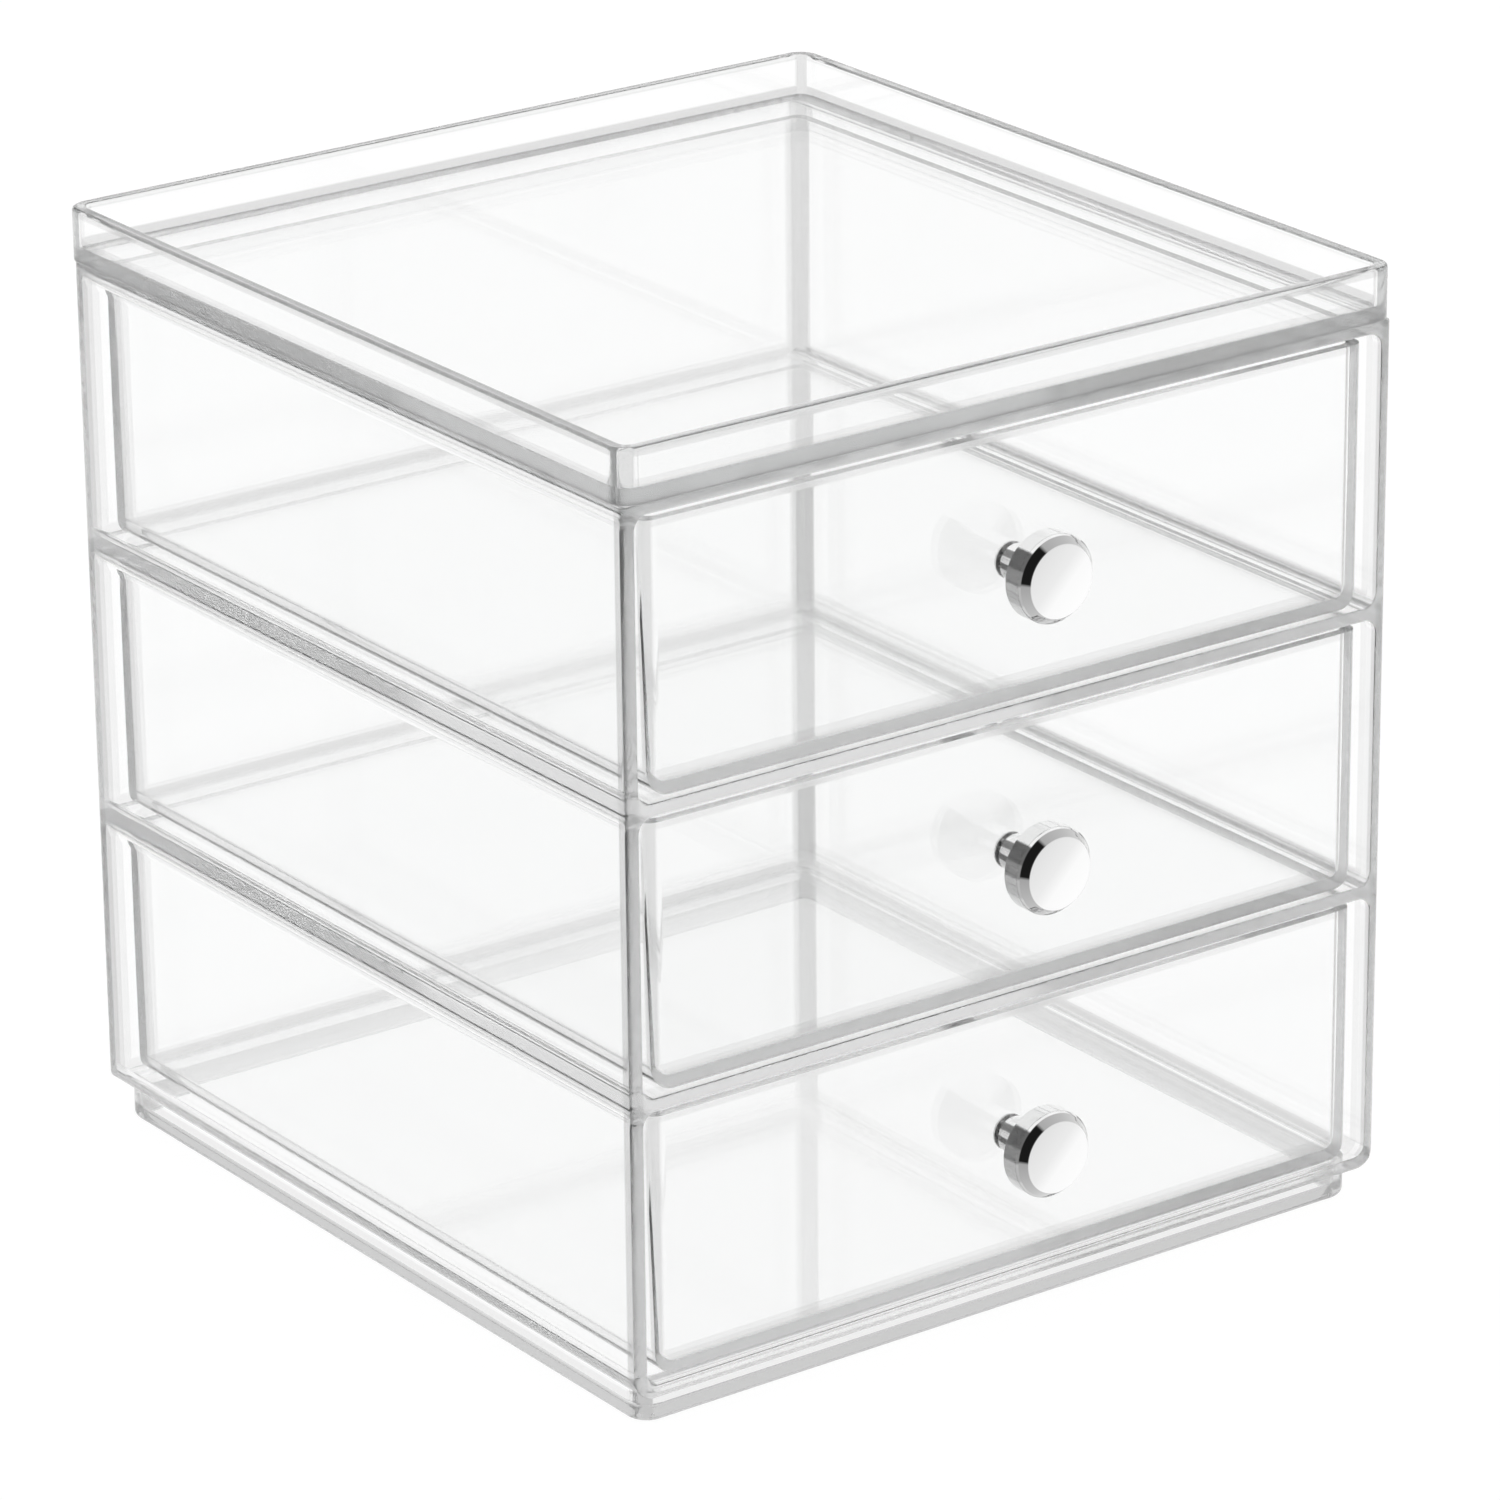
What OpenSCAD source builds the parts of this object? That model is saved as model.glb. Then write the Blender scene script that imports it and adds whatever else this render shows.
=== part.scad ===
// Clear stacking organizer with three drawers.
// Frame: +Z up, front towards -Y. The origin is the centre of the whole footprint, knobs included,
// on the surface that the organizer stands on.

/* [Case] */
// Outer width of the case
case_w = 164; // [120:1:240]
// Outer depth of the case
case_d = 172; // [120:1:240]
// Thickness of the case's sides and back
case_wall = 2.4; // [1.8:0.1:3]
// Thickness of the case's bottom
case_floor = 2.3; // [1.8:0.1:3]
// Thickness of each shelf between two bays
shelf_t = 2.4; // [1.8:0.1:3]
// Thickness of the case's roof, which carries the tray
roof_t = 2; // [1.6:0.1:3]
// Clear height of one drawer bay
bay_h = 50.6; // [40:0.1:80]
// Radius in the corners of each bay, seen from the front
bay_r = 2.6; // [1:0.1:5]
// Radius along the case's lower side edges
case_bottom_r = 4.2; // [2.4:0.1:6]
// Radius of the case's upright rear edges
case_rear_r = 3.2; // [1:0.1:5]
// Radius of the case's upright front edges
case_front_r = 1.4; // [0.6:0.1:1.6]

/* [Top tray] */
// How far the tray stands proud of the case on every side
tray_proud = 0.5; // [0.2:0.1:1.5]
// Thickness of the tray's floor
tray_floor = 2.4; // [1.6:0.1:3]
// Height of the rim above the tray's floor
rim_h = 7.6; // [5:0.1:16]
// Thickness of the rim
rim_t = 2.7; // [1.8:0.1:3.4]
// Outer radius of the tray's upright corners
tray_r = 4.3; // [3.8:0.1:8]
// Radius along the rim's top edges
rim_edge_r = 0.7; // [0.2:0.1:0.8]

/* [Stacking foot] */
// Height of the foot below the case
foot_h = 6.3; // [4:0.1:9]
// Gap on every side between the foot and the rim of a unit below it
stack_gap = 0.5; // [0.3:0.1:1.5]
// Thickness of the foot's wall
foot_t = 2.8; // [1.8:0.1:3.4]
// Outer radius of the foot's upright corners
foot_r = 4.5; // [3.8:0.1:8]
// Radius along the foot's lower outer edge
foot_edge_r = 1.6; // [0.4:0.1:1.7]

/* [Drawers] */
// Thickness of a drawer's walls
drawer_wall = 1.8; // [1.4:0.1:2.6]
// Thickness of a drawer's bottom
drawer_floor = 2; // [1.4:0.1:2.6]
// Gap between a drawer and its bay at each side, at the drawer's top
drawer_side_gap = 2.5; // [0.8:0.1:4]
// How much further each side leans in at the drawer's bottom
drawer_draft = 0.8; // [0:0.1:1.5]
// Gap between a drawer's top and the bay above it
drawer_top_gap = 1.8; // [0.8:0.1:4]
// Running gap between a drawer and the shelf that it slides on
drawer_run_gap = 0.3; // [0.2:0.05:0.6]
// Gap behind a closed drawer
drawer_back_gap = 3; // [0.5:0.1:8]
// How far a closed drawer's front sits behind the case's front edges
drawer_recess = 1.6; // [0:0.1:4]
// Radius along a drawer's lower side edges
drawer_bottom_r = 4; // [3:0.1:6]
// Radius along a drawer's lower side edges, inside
drawer_inner_bottom_r = 2.4; // [1:0.1:3]
// Outer radius of a drawer's upright corners
drawer_corner_r = 2.4; // [1:0.1:4]
// Inner radius of a drawer's upright corners
drawer_inner_r = 2; // [0.6:0.1:3]

/* [Knobs] */
// Diameter of the knob's head
head_d = 16; // [14:0.1:22]
// Thickness of the knob's head
head_t = 5.3; // [4:0.1:9]
// Diameter of the head's flat face
face_d = 13; // [8:0.1:15]
// Depth of the bevel round the face
bevel_t = 1.8; // [0.6:0.1:2.4]
// Length of the neck between the drawer and the head
neck_l = 7.6; // [5:0.1:14]
// Diameter of the neck where it meets the drawer
neck_d = 6.6; // [5.4:0.1:9]
// Diameter of the neck where it meets the head
neck_head_d = 7.4; // [5.6:0.1:12]

/* [Knob screws] */
// Diameter of the screw
screw_d = 3; // [2:0.5:4]
// Length of the screw under its head
screw_l = 9; // [6:0.5:10]
// Diameter of the screw's domed head
screw_head_d = 6.6; // [5.4:0.1:8]
// Thickness of the screw's head
screw_head_t = 1.9; // [1.4:0.1:2.4]
// Radius of the head's dome
screw_dome_r = 4.2; // [4:0.1:8]
// Length of each slot of the cross in the screw's head
cross_l = 3.8; // [2:0.1:4.4]
// Width of the cross's slots
cross_w = 0.9; // [0.5:0.1:1.4]
// Depth of the cross's slots
cross_depth = 1.1; // [0.5:0.1:1.3]
// Radial clearance of the screw in the drawer front
screw_hole_gap = 0.1; // [0.05:0.01:0.1]
// Radial clearance of the screw in the knob
knob_bore_gap = 0.02; // [0.01:0.01:0.05]
// Room left in the knob's bore beyond the screw's tip
screw_tip_gap = 0.5; // [0.1:0.1:1]

/* [Hidden] */

clear_tint = [0.93, 0.96, 0.95, 0.4];
chrome_tint = [0.8, 0.81, 0.82];
steel_tint = [0.66, 0.67, 0.68];

// Bays, counted from the bottom
LOWER = 0;
MIDDLE = 1;
UPPER = 2;
BAY_COUNT = 3;

// How far a cut runs past the face that it opens
cut = 1;
$fn = 64;

knob_l = head_t + neck_l;
total_d = case_d + tray_proud + knob_l - drawer_recess;
case_front = -total_d / 2 + knob_l - drawer_recess;
case_back = case_front + case_d;
case_mid = (case_front + case_back) / 2;

bay_pitch = bay_h + shelf_t;
bay_w = case_w - 2 * case_wall;
bay_d = case_d - case_wall;
case_h = case_floor + BAY_COUNT * bay_h + (BAY_COUNT - 1) * shelf_t + roof_t;
case_top = foot_h + case_h;

tray_w = case_w + 2 * tray_proud;
tray_d = case_d + 2 * tray_proud;
foot_w = tray_w - 2 * rim_t - 2 * stack_gap;
foot_d = tray_d - 2 * rim_t - 2 * stack_gap;

drawer_w = bay_w - 2 * drawer_side_gap;
drawer_h = bay_h - drawer_run_gap - drawer_top_gap;
drawer_l = bay_d - drawer_recess - drawer_back_gap;
drawer_front = case_front + drawer_recess;
drawer_lean = atan(drawer_draft / drawer_h);

screw_r = screw_d / 2;
knob_bore_l = screw_l - drawer_wall + screw_tip_gap;

function bay_z(bay) = foot_h + case_floor + bay * bay_pitch;
function drawer_z(bay) = bay_z(bay) + drawer_run_gap;
function knob_z(bay) = bay_z(bay) + bay_h / 2;

function drawer_half_w(z, inset) = drawer_w / 2 - inset - drawer_draft * (1 - z / drawer_h);

// Rectangle about the Y axis from 0 to h, with low_r in its lower corners and high_r in its upper ones
module outline(w, h, low_r, high_r) {
    translate([-w / 2, low_r]) square([w, h - low_r - high_r]);
    translate([-w / 2 + low_r, 0]) square([w - 2 * low_r, h / 2]);
    translate([-w / 2 + high_r, h / 2]) square([w - 2 * high_r, h / 2]);
    for (side = [-1, 1]) {
        if (low_r > 0) translate([side * (w / 2 - low_r), low_r]) circle(low_r);
        if (high_r > 0) translate([side * (w / 2 - high_r), h - high_r]) circle(high_r);
    }
}

// Stretches an outline in X and Z back along Y from y
module run_back(y, l) {
    translate([0, y + l, 0]) rotate([90, 0, 0]) linear_extrude(l) children();
}

// Carries a wall section round a rectangle with round corners. In the section, x counts outwards
// from the corners' centres, so x = r is the wall's outer face, and y is height.
module wall_round(w, d, r) {
    run_x = w - 2 * r;
    run_y = d - 2 * r;
    for (turn = [0, 1, 2, 3]) {
        across = turn % 2 == 0 ? run_x : run_y;
        along = turn % 2 == 0 ? run_y : run_x;
        rotate(90 * turn) translate([across / 2, along / 2, 0]) {
            rotate_extrude(angle = 90) children();
            rotate([90, 0, 0]) linear_extrude(along) children();
        }
    }
}

// One moulding, open at the front in three bays
module case_shell() {
    color(clear_tint)
    difference() {
        intersection() {
            translate([0, 0, foot_h]) run_back(case_front, case_d)
                outline(case_w, case_h, case_bottom_r, 0);
            translate([0, case_front, foot_h]) linear_extrude(case_h)
                outline(case_w, case_d, case_front_r, case_rear_r);
        }
        for (bay = [LOWER:UPPER])
            translate([0, 0, bay_z(bay)]) run_back(case_front - cut, bay_d + cut)
                outline(bay_w, bay_h, bay_r, bay_r);
    }
}

module rim_section() {
    top = tray_floor + rim_h;
    inner = tray_r - rim_t;
    translate([inner, 0]) square([rim_t, top - rim_edge_r]);
    translate([inner + rim_edge_r, 0]) square([rim_t - 2 * rim_edge_r, top]);
    for (x = [inner + rim_edge_r, tray_r - rim_edge_r])
        translate([x, top - rim_edge_r]) circle(rim_edge_r);
}

// The floor reaches the middle of the rim all round
module top_tray() {
    color(clear_tint)
    translate([0, 0, case_top]) {
        translate([0, case_mid, 0]) wall_round(tray_w, tray_d, tray_r) rim_section();
        translate([0, case_mid - (tray_d - rim_t) / 2, 0]) linear_extrude(tray_floor)
            outline(tray_w - rim_t, tray_d - rim_t, tray_r - rim_t / 2, tray_r - rim_t / 2);
    }
}

module foot_section() {
    translate([foot_r - foot_t, 0]) square([foot_t - foot_edge_r, foot_h]);
    translate([foot_r - foot_t, foot_edge_r]) square([foot_t, foot_h - foot_edge_r]);
    translate([foot_r - foot_edge_r, foot_edge_r]) circle(foot_edge_r);
}

module stacking_foot() {
    color(clear_tint)
    translate([0, case_mid, 0]) wall_round(foot_w, foot_d, foot_r) foot_section();
}

// A drawer's section across its width, inset from its outer sides, between two heights
module drawer_section(inset, low, high, r) {
    corner_x = drawer_half_w(low + r, inset) - r / cos(drawer_lean);
    side_x = corner_x + r * cos(drawer_lean);
    side_z = low + r - r * sin(drawer_lean);
    top_x = drawer_half_w(high, inset);
    polygon([
        [-top_x, high], [-side_x, side_z], [-corner_x, low],
        [corner_x, low], [side_x, side_z], [top_x, high]
    ]);
    for (side = [-1, 1]) translate([side * corner_x, low + r]) circle(r);
}

module drawer_body(inset, low, high, bottom_r, corner_r) {
    l = drawer_l - 2 * inset;
    intersection() {
        run_back(inset, l) drawer_section(inset, low, high, bottom_r);
        translate([0, inset, low]) linear_extrude(high - low)
            outline(drawer_w - 2 * inset, l, corner_r, corner_r);
    }
}

module drawer(bay) {
    color(clear_tint)
    difference() {
        translate([0, drawer_front, drawer_z(bay)]) difference() {
            drawer_body(0, 0, drawer_h, drawer_bottom_r, drawer_corner_r);
            drawer_body(drawer_wall, drawer_floor, drawer_h + cut, drawer_inner_bottom_r, drawer_inner_r);
        }
        at_knob(bay) translate([0, 0, -drawer_wall - cut])
            cylinder(r = screw_r + screw_hole_gap, h = drawer_wall + 2 * cut);
    }
}

// Turns +Z to the front, with its origin where the knob meets the drawer
module at_knob(bay) {
    translate([0, drawer_front, knob_z(bay)]) rotate([90, 0, 0]) children();
}

module knob(bay) {
    color(chrome_tint)
    at_knob(bay) difference() {
        rotate_extrude() polygon([
            [0, 0], [neck_d / 2, 0], [neck_head_d / 2, neck_l],
            [head_d / 2, neck_l], [head_d / 2, knob_l - bevel_t], [face_d / 2, knob_l], [0, knob_l]
        ]);
        translate([0, 0, -cut]) cylinder(r = screw_r + knob_bore_gap, h = knob_bore_l + cut);
    }
}

// The underside of a screw's head, which bears on the drawer, is at z = 0 and the dome is below it
module screw_head() {
    difference() {
        mirror([0, 0, 1]) rotate_extrude() intersection() {
            square([screw_head_d / 2, screw_head_t]);
            translate([0, screw_head_t - screw_dome_r]) circle(screw_dome_r);
        }
        for (turn = [0, 90])
            rotate(turn) translate([-cross_l / 2, -cross_w / 2, -screw_head_t - cut])
                cube([cross_l, cross_w, cross_depth + cut]);
    }
}

module screw(bay) {
    color(steel_tint)
    at_knob(bay) translate([0, 0, -drawer_wall]) {
        cylinder(r = screw_r, h = screw_l);
        screw_head();
    }
}

module upper_drawer() { drawer(UPPER); }
module middle_drawer() { drawer(MIDDLE); }
module lower_drawer() { drawer(LOWER); }
module upper_knob() { knob(UPPER); }
module middle_knob() { knob(MIDDLE); }
module lower_knob() { knob(LOWER); }
module upper_screw() { screw(UPPER); }
module middle_screw() { screw(MIDDLE); }
module lower_screw() { screw(LOWER); }

case_shell();
top_tray();
stacking_foot();
upper_drawer();
middle_drawer();
lower_drawer();
upper_knob();
middle_knob();
lower_knob();
upper_screw();
middle_screw();
lower_screw();
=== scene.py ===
import math
import bpy
from mathutils import Matrix, Vector


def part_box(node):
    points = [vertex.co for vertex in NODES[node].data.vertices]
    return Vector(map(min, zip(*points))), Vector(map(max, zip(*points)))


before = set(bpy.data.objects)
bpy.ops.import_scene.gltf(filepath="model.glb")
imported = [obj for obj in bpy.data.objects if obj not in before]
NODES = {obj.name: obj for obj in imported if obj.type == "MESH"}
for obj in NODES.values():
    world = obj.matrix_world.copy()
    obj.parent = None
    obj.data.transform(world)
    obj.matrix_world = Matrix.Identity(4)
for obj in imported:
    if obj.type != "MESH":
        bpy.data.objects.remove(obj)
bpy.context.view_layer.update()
MM = 0.001

# Camera, fitted to the photograph's edges
PHOTO_SIDE = 1500
FOCAL_PX = 7535.5
CAMERA_AT = Vector((-741.4, -1026.1, 570.9)) * MM
CAMERA_AZIMUTH = -35.903
CAMERA_ELEVATION = 21.142
CAMERA_ROLL = -0.569
SENSOR = 36.0
CLIP_START = 0.05

# World and floor. The object is lit by the lit strength, and the camera, mirrors and clear plastic see the
# shown one and the floor's glow.
WORLD_LIT = 0.8
WORLD_SHOWN = 1.0
FLOOR_SIZE = 8
FLOOR_TONE = 0.9
FLOOR_GLOW = 1.05
FLOOR_GLOW_SHARE = 0.92

# Bounces of light: many run inside clear plastic
PLASTIC_BOUNCES = 160
DIFFUSE_BOUNCES = 8
TRANSPARENT_BOUNCES = 64

# Clear plastic: its transmission, index of refraction, the roughness of its ends and corners, the tint of its
# panels, the painted shade in the strips inside, the colour of its absorption, and the tint of the light in
# its shadow
CLEAR = 0.995
IOR = 1.49
END_ROUGHNESS = 0.15
PLAIN = (0.9965, 0.9976, 0.9974)
STRIP_SHADE = 0.8
ABSORBED = (0.49, 0.5, 0.496, 1)
SHADOW_TINT = (0.965, 0.97, 0.97, 1)

# Places of the painted shade, in mm. Those inside and outside a wall meet this far from its inner face. Bands
# at the plates' ends are raised, as the plates look lower through the plastic, and wider to each side. Corner
# strips change from the front's width to the back's within this much of the middle.
TINT_MARGIN = 0.1
PLATE_RAISE = 0.4
PLATE_MARGIN = 0.6
CORNER_BLEND = 1

# Glue between the tray and the case: half the film's height, how soft its edge is and how deep it shows, in
# mm, its tint, how much of that shows where it is faint, and the noise scale and stretch of its streaks
CASE_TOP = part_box("case_shell")[1].z / MM
GLUE_HALF = 1.2
GLUE_SOFT = 0.4
GLUE_DEPTH = 0.6
GLUE_TINT = 0.55
GLUE_FAINT = 0.15
GLUE_STREAKS = 0.09
GLUE_STRETCH = (1.0, 1.0, 5.0)

# Metal: the noise scale of its uneven polish, the least and the most that this multiplies the roughness by,
# and the tone of the steel
POLISH_SCALE = 0.6
POLISH_RANGE = (0.7, 1.4)
STEEL_TONE = 0.72

# Knobs, in mm: the lowest one's height, the distance from bay to bay, where along Y the painted reflections
# of the head, its bevel and its face start, the width that the face's painted reflection takes up, and how
# soft their borders are
KNOB_LOW, KNOB_HIGH = (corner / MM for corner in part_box("lower_knob"))
KNOB_Z = (KNOB_LOW.z + KNOB_HIGH.z) / 2
BAY_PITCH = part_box("middle_knob")[0].z / MM - KNOB_LOW.z
HEAD_Y, BEVEL_Y, FACE_Y = (KNOB_LOW.y + depth for depth in (5.4, 1.4, 0.1))
FACE_SPAN = 18
KNOB_SOFT = 0.05

# Painted reflections on the chrome: light and dark bands in place of the surroundings it would mirror, as an
# angle in degrees and a tone. The side's and the neck's are the same left and right, with angles from the
# top. The bevel's go around, with 90 at the top and 180 at the left. The face's run from its upper left to
# its lower right, as a share of the way and a tone.
SIDE_TONES = ((0, 0.92), (6, 0.92), (10, 0.86), (41, 0.86), (44, 0.13), (67, 0.13), (70, 0.24), (86, 0.24),
              (89, 0.46), (113, 0.46), (117, 0.61), (180, 0.61))
NECK_TONES = ((0, 0.93), (32, 0.93), (37, 0.23), (56, 0.23), (60, 0.64), (76, 0.64), (80, 0.14), (94, 0.14),
              (98, 0.52), (180, 0.52))
BEVEL_TONES = ((0, 0.85), (80, 0.5), (116, 0.4), (121, 0.01), (173, 0.01), (177, 0.36), (235, 0.55),
               (310, 0.82), (360, 0.85))
FACE_TONES = ((0.0, 0.74), (0.4, 0.82), (0.62, 0.94), (1.0, 0.97))

# Edge rounding and growth, in mm. Growth keeps faces that touch from coinciding.
PLASTIC_EDGE, KNOB_EDGE, SCREW_EDGE = 0.3, 0.2, 0.1
BONDED_GROWTH, METAL_GROWTH = 0.01, 0.02

# Points closer than this become one, in m. Faces that turn by less than the flat angle are joined, and edges
# that turn by more than the edge angle are rounded, in degrees.
WELD_DISTANCE = 1e-6
FLAT_ANGLE = 0.3
EDGE_ANGLE = 35


def make_camera():
    data = bpy.data.cameras.new("camera")
    data.sensor_width = SENSOR
    data.lens = FOCAL_PX / PHOTO_SIDE * SENSOR
    data.clip_start = CLIP_START
    cam = bpy.data.objects.new("camera", data)
    bpy.context.scene.collection.objects.link(cam)
    az, el, roll = (math.radians(a) for a in (CAMERA_AZIMUTH, CAMERA_ELEVATION, CAMERA_ROLL))
    back = Vector((math.sin(az) * math.cos(el), -math.cos(az) * math.cos(el), math.sin(el)))
    right = Vector((0, 0, 1)).cross(back).normalized()
    up = back.cross(right)
    right, up = math.cos(roll) * right + math.sin(roll) * up, math.cos(roll) * up - math.sin(roll) * right
    turn = Matrix((right, up, back)).transposed().to_4x4()
    cam.matrix_world = Matrix.Translation(CAMERA_AT) @ turn
    bpy.context.scene.camera = cam


class Tree:
    """A node tree that is written as calls."""

    def __init__(self, tree):
        self.tree = tree
        tree.nodes.clear()

    def add(self, kind, **inputs):
        node = self.tree.nodes.new(kind)
        for name, value in inputs.items():
            self.set(node, name.replace("_", " "), value)
        return node

    def set(self, node, name, value):
        """Links or sets an input, or sets a property where the node has no such input."""
        if isinstance(name, str) and name not in node.inputs:
            setattr(node, name.replace(" ", "_"), value)
            return
        if isinstance(value, bpy.types.NodeSocket):
            self.tree.links.new(value, node.inputs[name])
        else:
            node.inputs[name].default_value = value

    def math(self, operation, *values):
        node = self.tree.nodes.new("ShaderNodeMath")
        node.operation = operation
        for i, value in enumerate(values):
            self.set(node, i, value)
        return node.outputs[0]

    def ramp(self, value, low, high, out_low=0.0, out_high=1.0):
        """A smooth step of value from low to high."""
        node = self.tree.nodes.new("ShaderNodeMapRange")
        node.interpolation_type = "SMOOTHSTEP"
        for i, v in enumerate((value, low, high, out_low, out_high)):
            self.set(node, i, v)
        return node.outputs[0]

    def step(self, value, edge, soft=0.15):
        """1 where value is below edge, 0 above it. A negative soft turns that round."""
        node = self.tree.nodes.new("ShaderNodeMapRange")
        for i, v in enumerate((value, edge + soft, edge - soft, 0.0, 1.0)):
            self.set(node, i, v)
        return node.outputs[0]

    def tones(self, value, stops):
        """A grey from a list of (value, tone) stops."""
        node = self.add("ShaderNodeValToRGB", Fac=value)
        ramp = node.color_ramp
        while len(ramp.elements) < len(stops):
            ramp.elements.new(0.5)
        for element, (position, tone) in zip(ramp.elements, stops):
            element.position = position
            element.color = (tone, tone, tone, 1)
        return node.outputs[0]

    def mix(self, factor, a, b):
        """Shader a where factor is 0, and b where it is 1."""
        node = self.tree.nodes.new("ShaderNodeMixShader")
        self.set(node, 0, factor)
        self.tree.links.new(a, node.inputs[1])
        self.tree.links.new(b, node.inputs[2])
        return node.outputs[0]

    def colour(self, factor, a, b):
        """Colour a where factor is 0, and b where it is 1."""
        node = self.tree.nodes.new("ShaderNodeMix")
        node.data_type = "RGBA"
        self.set(node, 0, factor)
        for i, c in ((6, a), (7, b)):
            if isinstance(c, bpy.types.NodeSocket):
                self.tree.links.new(c, node.inputs[i])
            else:
                node.inputs[i].default_value = (*c, 1)
        return node.outputs[2]

    def place(self):
        """The surface's place in the part's frame, in mm: x, y, z and the vector."""
        where = self.add("ShaderNodeTexCoord").outputs["Object"]
        scaled = self.tree.nodes.new("ShaderNodeVectorMath")
        scaled.operation = "SCALE"
        self.tree.links.new(where, scaled.inputs[0])
        scaled.inputs["Scale"].default_value = 1 / MM
        parts = self.add("ShaderNodeSeparateXYZ")
        self.tree.links.new(scaled.outputs[0], parts.inputs[0])
        return *parts.outputs, scaled.outputs[0]

    def stretch(self, vector, by):
        node = self.tree.nodes.new("ShaderNodeVectorMath")
        node.operation = "MULTIPLY"
        self.tree.links.new(vector, node.inputs[0])
        node.inputs[1].default_value = by
        return node.outputs[0]

    def noise(self, vector, scale):
        return self.add("ShaderNodeTexNoise", Vector=vector, Scale=scale, Detail=3.0).outputs[0]


def seen_share(t):
    """1 for rays that show the background: straight from the camera, mirrored, or through clear plastic."""
    path = t.add("ShaderNodeLightPath").outputs
    direct = t.math("MAXIMUM", path["Is Camera Ray"], path["Is Glossy Ray"])
    return t.math("MAXIMUM", direct, path["Is Transmission Ray"])


def make_world():
    world = bpy.data.worlds.new("world")
    bpy.context.scene.world = world
    world.use_nodes = True
    world.cycles.sampling_method = "NONE"
    t = Tree(world.node_tree)
    lit = t.add("ShaderNodeBackground", Color=(1, 1, 1, 1), Strength=WORLD_LIT)
    shown = t.add("ShaderNodeBackground", Color=(1, 1, 1, 1), Strength=WORLD_SHOWN)
    mixed = t.mix(seen_share(t), lit.outputs[0], shown.outputs[0])
    out = t.add("ShaderNodeOutputWorld")
    t.tree.links.new(mixed, out.inputs[0])


def new_material(name):
    mat = bpy.data.materials.new(name)
    mat.use_nodes = True
    return mat, Tree(mat.node_tree)


def make_floor():
    bpy.ops.mesh.primitive_plane_add(size=FLOOR_SIZE)
    floor = bpy.context.object
    floor.name = "floor"
    mat, t = new_material("floor")
    diffuse = t.add("ShaderNodeBsdfDiffuse", Color=(FLOOR_TONE, FLOOR_TONE, FLOOR_TONE, 1))
    glow = t.add("ShaderNodeEmission", Color=(1, 1, 1, 1), Strength=FLOOR_GLOW)
    share = t.math("MULTIPLY", seen_share(t), FLOOR_GLOW_SHARE)
    both = t.mix(share, diffuse.outputs[0], glow.outputs[0])
    out = t.add("ShaderNodeOutputMaterial")
    t.tree.links.new(both, out.inputs[0])
    mat.cycles.emission_sampling = "NONE"
    floor.data.materials.append(mat)


def extent(node):
    """A node's half sizes, its middle along Y and its bottom, in mm."""
    low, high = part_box(node)
    half = (high - low) / 2 / MM
    return dict(half_x=half.x, half_y=half.y, mid_y=(low.y + high.y) / 2 / MM, bottom=low.z / MM)


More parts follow.
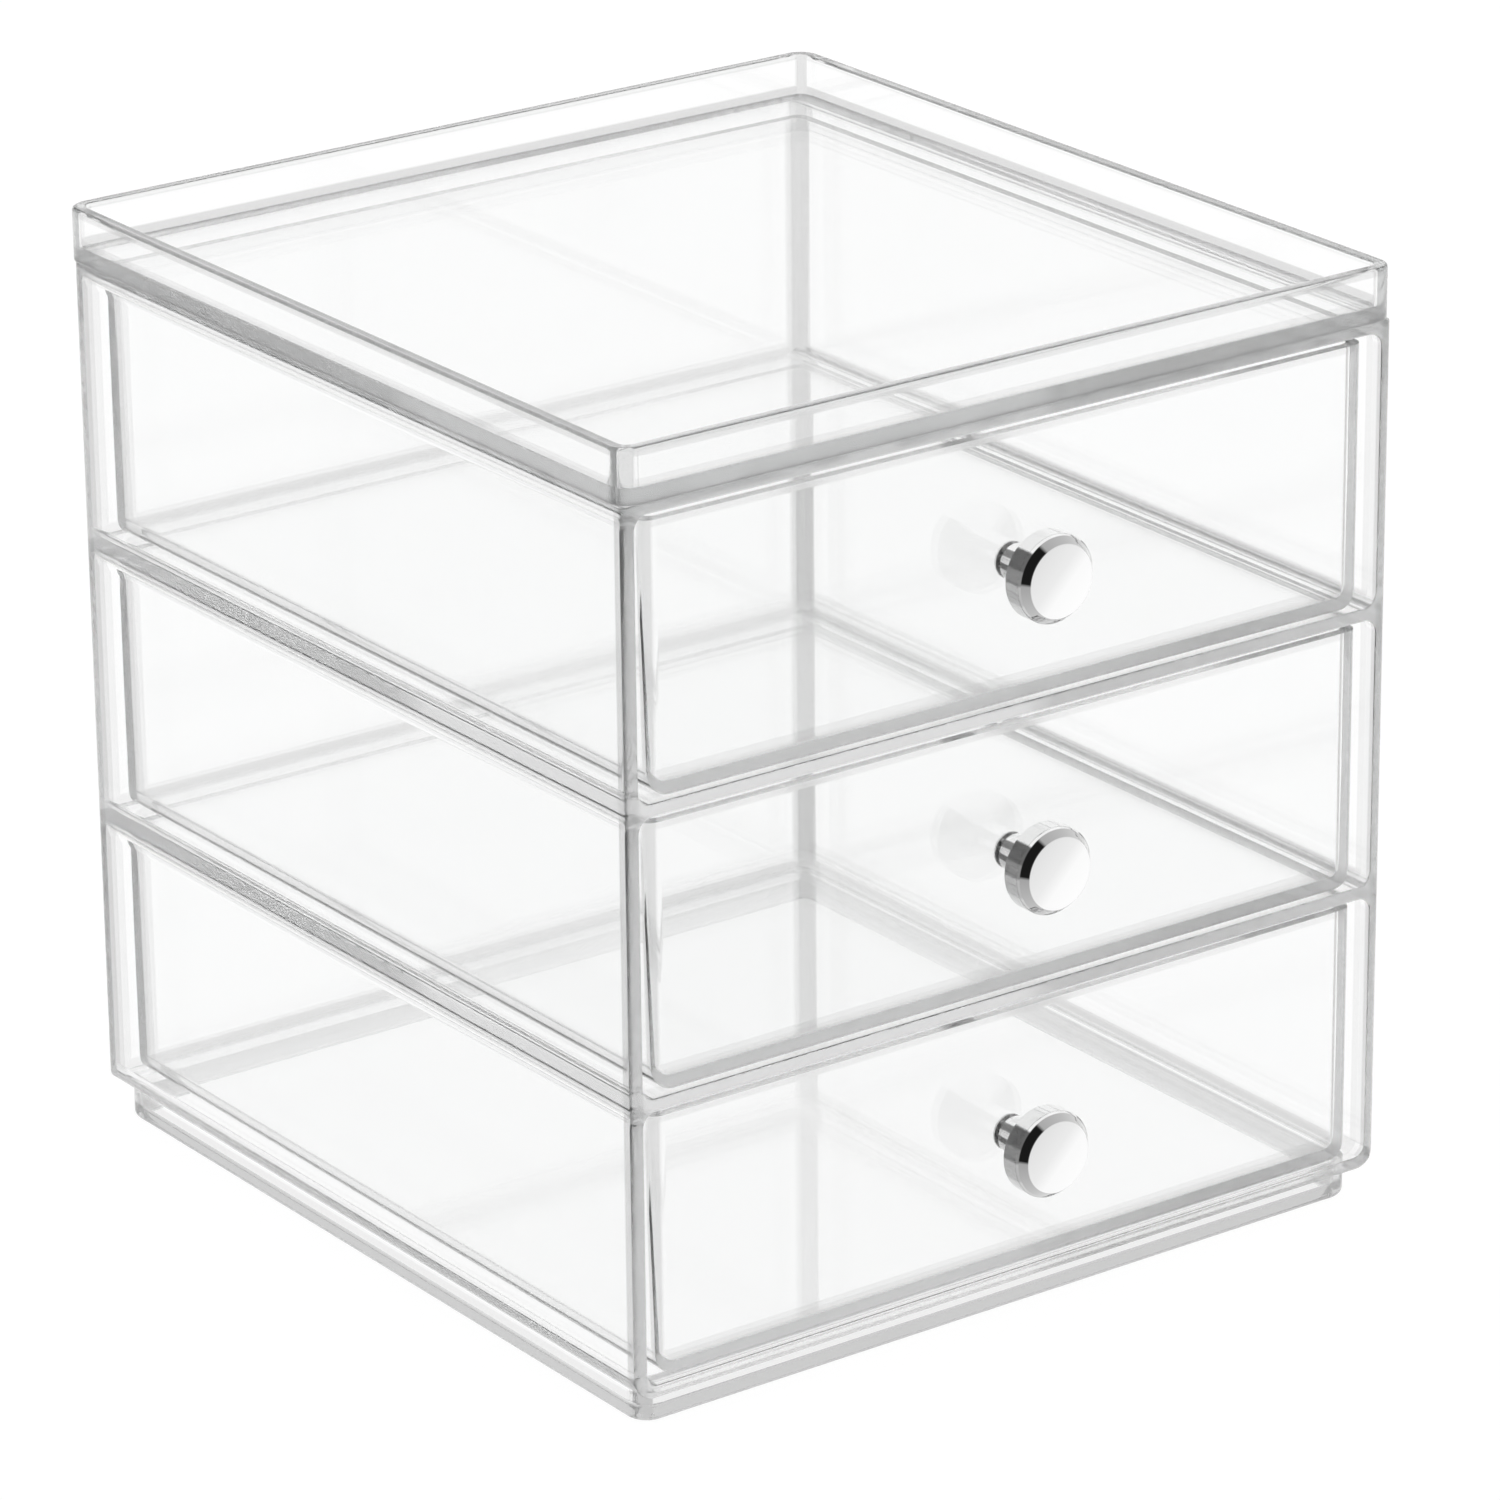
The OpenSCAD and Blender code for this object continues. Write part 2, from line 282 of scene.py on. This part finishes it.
def clear_plastic(name, node, wall, strips, floor_t, pitch, half, post, plate, absorb, glued=False):
    """Clear moulded plastic, with painted shade on its plates' ends, its upright corners and strips where
    walls and floors meet, in place of the grey that refraction shows where it is seen through its thickness.

    wall is its thickness in mm, and strips the width of the strips of painted shade where walls and floors
    meet:
    along the floors, at the front corners and at the back corners. floor_t is how far the lowest plate's top
    lies above the piece's bottom, pitch the distance from that plate to the next one or to the piece's top
    edge, and half is half a plate's thickness. The foot gets its painted shade as one plate, and its pitch is
    more than its height.
    post and plate are the tones of the painted shade on the upright corners and on the plates' ends, and
    absorb is the density of the plastic's absorption. A glued piece has a film at the height of the case's
    top.
    """
    mat, t = new_material(name)
    box = extent(node)
    x, y, z, place = t.place()
    from_x = t.math("SUBTRACT", box["half_x"], t.math("ABSOLUTE", x))
    from_y = t.math("SUBTRACT", box["half_y"], t.math("ABSOLUTE", t.math("SUBTRACT", y, box["mid_y"])))
    near = t.math("MINIMUM", from_x, from_y)
    far = t.math("MAXIMUM", from_x, from_y)
    top = box["bottom"] + floor_t
    along, front, back = strips
    # Painted shade in strips inside the walls, along the floors and up the corners
    inside = t.step(near, wall - TINT_MARGIN, soft=-0.05)
    strip = t.step(near, wall + along)
    reach = t.ramp(y, box["mid_y"] - CORNER_BLEND, box["mid_y"] + CORNER_BLEND, wall + front, wall + back)
    corner = t.step(t.math("SUBTRACT", far, reach), 0)
    above = t.math("PINGPONG", t.math("SUBTRACT", z, top + along / 2), pitch / 2)
    strip_rows = t.math("MULTIPLY", strip, t.step(above, along / 2 + TINT_MARGIN))
    inner = t.math("MULTIPLY", inside, t.math("MAXIMUM", corner, strip_rows))
    # Painted shade on the ends of the plates and the upright corners, on the outside, which are also rougher
    skin = t.step(near, wall - TINT_MARGIN)
    height = t.math("PINGPONG", t.math("SUBTRACT", z, top - half + PLATE_RAISE), pitch / 2)
    plates = t.math("MULTIPLY", skin, t.step(height, half + PLATE_MARGIN))
    posts = t.math("MULTIPLY", skin, t.step(t.math("SUBTRACT", far, reach), -front))
    # Painted shade on the plates' ends and on the upright corners
    colour = t.colour(plates, PLAIN, (plate,) * 3)
    colour = t.colour(posts, colour, (post,) * 3)
    # Painted shade in the strips where walls and floors meet
    colour = t.colour(inner, colour, (STRIP_SHADE,) * 3)
    if glued:
        from_joint = t.math("ABSOLUTE", t.math("SUBTRACT", z, CASE_TOP))
        film = t.math("MULTIPLY", t.step(from_joint, GLUE_HALF, GLUE_SOFT), t.step(near, GLUE_DEPTH))
        streaks = t.noise(t.stretch(place, GLUE_STRETCH), GLUE_STREAKS)
        streaks = t.ramp(streaks, low=0.4, high=0.6, out_low=GLUE_FAINT)
        colour = t.colour(t.math("MULTIPLY", film, streaks), colour, (GLUE_TINT,) * 3)
    rough = t.math("MULTIPLY", t.math("MAXIMUM", plates, posts), END_ROUGHNESS)
    shader = t.add("ShaderNodeBsdfPrincipled", Roughness=rough, IOR=IOR, Transmission_Weight=CLEAR)
    t.set(shader, "Base Color", colour)
    volume = t.add("ShaderNodeVolumeAbsorption", Color=ABSORBED, Density=absorb)
    through = t.add("ShaderNodeBsdfTransparent", Color=SHADOW_TINT)
    path = t.add("ShaderNodeLightPath")
    mixed = t.mix(path.outputs["Is Shadow Ray"], shader.outputs[0], through.outputs[0])
    out = t.add("ShaderNodeOutputMaterial")
    t.tree.links.new(mixed, out.inputs["Surface"])
    t.tree.links.new(volume.outputs[0], out.inputs["Volume"])
    return mat


def by_angle(stops, turn):
    """Stops whose positions are shares of a turn of that many degrees."""
    return [(angle / turn, tone) for angle, tone in stops]


def painted_chrome_reflections(t, x, y, z):
    """The painted reflections of a knob, light and dark bands by the angle around its axis."""
    up = t.math("SUBTRACT", t.math("WRAP", z, KNOB_Z + BAY_PITCH / 2, KNOB_Z - BAY_PITCH / 2), KNOB_Z)
    from_top = t.math("DIVIDE", t.math("ARCTAN2", t.math("ABSOLUTE", x), up), math.pi)
    side = t.tones(from_top, by_angle(SIDE_TONES, 180))
    neck = t.tones(from_top, by_angle(NECK_TONES, 180))
    around = t.math("WRAP", t.math("DIVIDE", t.math("ARCTAN2", up, x), 2 * math.pi), 1.0, 0.0)
    bevel = t.tones(around, by_angle(BEVEL_TONES, 360))
    across = t.math("SUBTRACT", x, up)
    face = t.tones(t.math("MULTIPLY_ADD", across, 1 / FACE_SPAN, 0.5), FACE_TONES)
    tone = t.colour(t.step(y, HEAD_Y, KNOB_SOFT), neck, side)
    tone = t.colour(t.step(y, BEVEL_Y, KNOB_SOFT), tone, bevel)
    return t.colour(t.step(y, FACE_Y, KNOB_SOFT), tone, face)


def metal(name, roughness, tone=None):
    """Polished metal of an even tone, or with the knobs' painted reflections, light and dark bands, where
    there is none.
    """
    mat, t = new_material(name)
    x, y, z, place = t.place()
    smooth, dull = (roughness * share for share in POLISH_RANGE)
    rough = t.ramp(t.noise(place, POLISH_SCALE), low=0.3, high=0.7, out_low=smooth, out_high=dull)
    shader = t.add("ShaderNodeBsdfPrincipled", Metallic=1.0, Roughness=rough)
    if tone is None:
        t.set(shader, "Base Color", painted_chrome_reflections(t, x, y, z))
    else:
        shader.inputs["Base Color"].default_value = (tone, tone, tone, 1)
    out = t.add("ShaderNodeOutputMaterial")
    t.tree.links.new(shader.outputs[0], out.inputs["Surface"])
    return mat


def soften_edges(node, width, grow=0.0):
    """Rounds a node's edges by width, and grows it, both in mm."""
    weld = node.modifiers.new("weld", "WELD")
    weld.merge_threshold = WELD_DISTANCE
    flat = node.modifiers.new("flat", "DECIMATE")
    flat.decimate_type = "DISSOLVE"
    flat.angle_limit = math.radians(FLAT_ANGLE)
    bevel = node.modifiers.new("bevel", "BEVEL")
    bevel.width = width * MM
    bevel.segments = 2
    bevel.limit_method = "ANGLE"
    bevel.angle_limit = math.radians(EDGE_ANGLE)
    bevel.use_clamp_overlap = True
    bevel.miter_outer = "MITER_ARC"
    if grow:
        swell = node.modifiers.new("swell", "DISPLACE")
        swell.strength = grow * MM
        swell.mid_level = 0
    normals = node.modifiers.new("normals", "WEIGHTED_NORMAL")
    normals.weight = 100


def set_view_and_bounces():
    scene = bpy.context.scene
    scene.view_settings.view_transform = "Standard"
    scene.cycles.max_bounces = PLASTIC_BOUNCES
    scene.cycles.diffuse_bounces = DIFFUSE_BOUNCES
    scene.cycles.transmission_bounces = PLASTIC_BOUNCES
    scene.cycles.glossy_bounces = PLASTIC_BOUNCES
    scene.cycles.transparent_max_bounces = TRANSPARENT_BOUNCES


make_camera()
make_world()
make_floor()
set_view_and_bounces()

BONDED = ("top_tray", "stacking_foot")
# post and plate are the tones of the painted shade on each piece's upright corners and plates' ends
PLASTICS = dict(
    case_shell=clear_plastic(
        "case_plastic", "case_shell", wall=2.4, strips=(1.8, 1.6, 3.6), floor_t=2.3, pitch=BAY_PITCH,
        half=1.2, post=0.64, plate=0.94, absorb=2.0, glued=True),
    top_tray=clear_plastic(
        "tray_plastic", "top_tray", wall=2.7, strips=(1.6, 1.6, 1.6), floor_t=2.4, pitch=8.8, half=1.2,
        post=0.78, plate=0.72, absorb=1.6, glued=True),
    stacking_foot=clear_plastic(
        "foot_plastic", "stacking_foot", wall=2.8, strips=(1.7, 1.7, 1.7), floor_t=2.6, pitch=60.0, half=1.3,
        post=0.38, plate=0.38, absorb=2.2),
)
for drawer in ("lower_drawer", "middle_drawer", "upper_drawer"):
    PLASTICS[drawer] = clear_plastic(
        drawer + "_plastic", drawer, wall=1.8, strips=(2.2, 1.2, 3.4), floor_t=2.0, pitch=47.5, half=1.0,
        post=0.78, plate=0.84, absorb=2.0)
# The chrome gets painted reflections as light and dark bands; the steel is of an even tone
CHROME = metal("chrome", roughness=0.05)
STEEL = metal("steel", roughness=0.22, tone=STEEL_TONE)

for name, node in NODES.items():
    if "knob" in name:
        mat, width, grow = CHROME, KNOB_EDGE, METAL_GROWTH
    elif "screw" in name:
        mat, width, grow = STEEL, SCREW_EDGE, METAL_GROWTH
    else:
        mat, width, grow = PLASTICS[name], PLASTIC_EDGE, (BONDED_GROWTH if name in BONDED else 0)
    for slot in node.material_slots:
        slot.material = mat
    soften_edges(node, width, grow)
